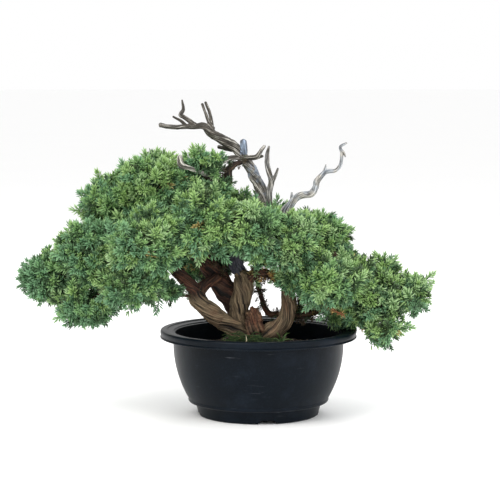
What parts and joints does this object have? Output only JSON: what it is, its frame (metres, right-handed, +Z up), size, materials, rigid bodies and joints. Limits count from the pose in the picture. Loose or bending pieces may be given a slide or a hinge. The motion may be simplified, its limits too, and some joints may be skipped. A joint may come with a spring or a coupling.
{
  "type": "bonsai tree in a pot",
  "caption": "Needle-leaved juniper bonsai with twisted trunks, bleached deadwood and spreading green foliage pads, growing in a round black plastic training pot.",
  "frame": {"origin": "middle of the whole tree's box, at the level that the pot stands on", "axes": "+X to the tree's right as seen from its front, +Y to its back, +Z up"},
  "size_m": [0.5522, 0.2872, 0.4242],
  "materials": {
    "pot_plastic": "satin",
    "screen_plastic": "matte",
    "bonsai_soil": "matte",
    "moss_and_grass": "matte",
    "dry_straw": "matte",
    "trunk_bark": "matte",
    "branch_bark": "matte",
    "silver_deadwood": "matte",
    "dead_twig": "matte",
    "juniper_needles": "satin"
  },
  "bodies": {
    "root": {"pot": "pot_plastic", "drain_screen_1": "screen_plastic", "drain_screen_2": "screen_plastic", "drain_screen_3": "screen_plastic", "drain_screen_4": "screen_plastic", "soil": "bonsai_soil", "moss_front": "moss_and_grass", "moss_right": "moss_and_grass", "grass_tuft": "moss_and_grass", "dry_stalk": "dry_straw", "trunk": "trunk_bark", "apex_deadwood": "silver_deadwood", "back_branches": "branch_bark", "crown_branches": "branch_bark", "hooked_shoot": "branch_bark", "left_branches": "branch_bark", "left_deadwood": "silver_deadwood", "low_branch": "branch_bark", "orange_twig": "dead_twig", "right_branches": "branch_bark", "right_deadwood": "silver_deadwood", "second_apex": "branch_bark", "thin_shoot": "branch_bark", "upright_deadwood": "silver_deadwood", "foliage_apex_tuft": "juniper_needles", "foliage_back_left": "juniper_needles", "foliage_back_low": "juniper_needles", "foliage_back_top": "juniper_needles", "foliage_centre": "juniper_needles", "foliage_far_back": "juniper_needles", "foliage_front_centre": "juniper_needles", "foliage_front_left": "juniper_needles", "foliage_front_low": "juniper_needles", "foliage_left_hanging": "juniper_needles", "foliage_left_middle": "juniper_needles", "foliage_left_tip": "juniper_needles", "foliage_left_tuft": "juniper_needles", "foliage_right_back": "juniper_needles", "foliage_right_front": "juniper_needles", "foliage_right_hanging": "juniper_needles", "foliage_right_inner": "juniper_needles", "foliage_right_knob": "juniper_needles", "foliage_right_low": "juniper_needles", "foliage_right_middle": "juniper_needles", "foliage_right_outer": "juniper_needles", "foliage_right_tip": "juniper_needles", "foliage_right_top": "juniper_needles", "foliage_top_centre": "juniper_needles", "foliage_top_left": "juniper_needles", "foliage_upper_left": "juniper_needles"}
  },
  "joints": []
}
